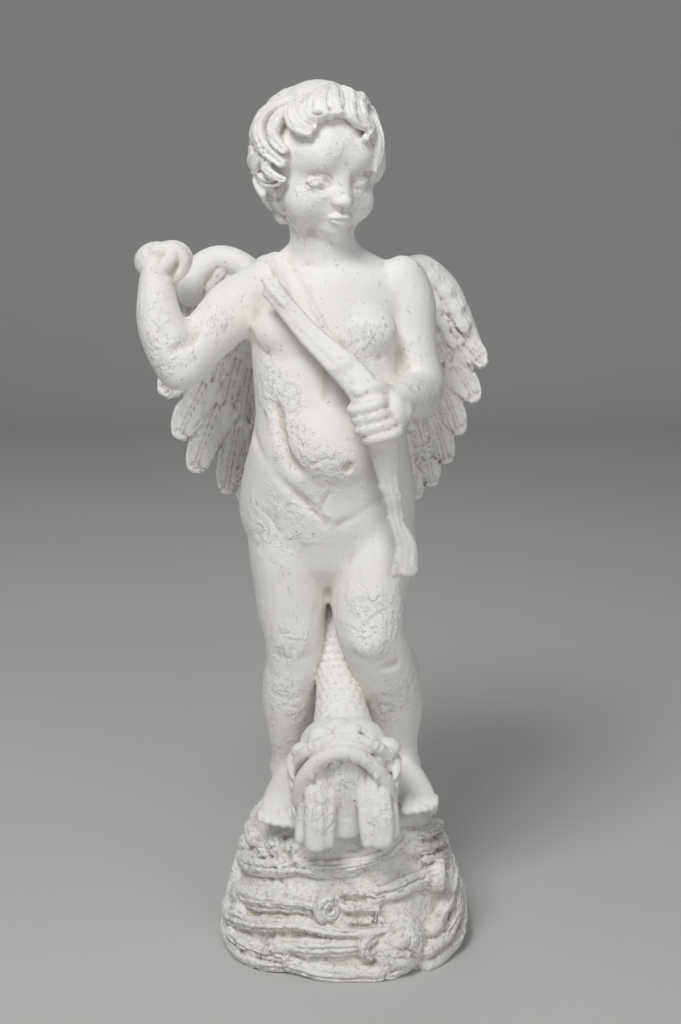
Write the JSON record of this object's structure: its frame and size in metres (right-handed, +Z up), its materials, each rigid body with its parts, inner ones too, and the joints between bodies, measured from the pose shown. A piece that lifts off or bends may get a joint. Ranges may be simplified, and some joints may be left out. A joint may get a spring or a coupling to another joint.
{
  "type": "angel statue",
  "caption": "White plaster garden or mantel figure of a winged child holding a bow, standing over a fish's head on a mound of logs, cast in one piece.",
  "frame": {"origin": "centre of the flat underside of the base", "axes": "+Z up, the figure faces -Y, and its own left side is at +X"},
  "size_m": [0.2786, 0.1962, 0.6999],
  "materials": {
    "plaster": "matt white cast plaster"
  },
  "bodies": {
    "root": {"cherub_statue": "plaster"}
  },
  "joints": []
}
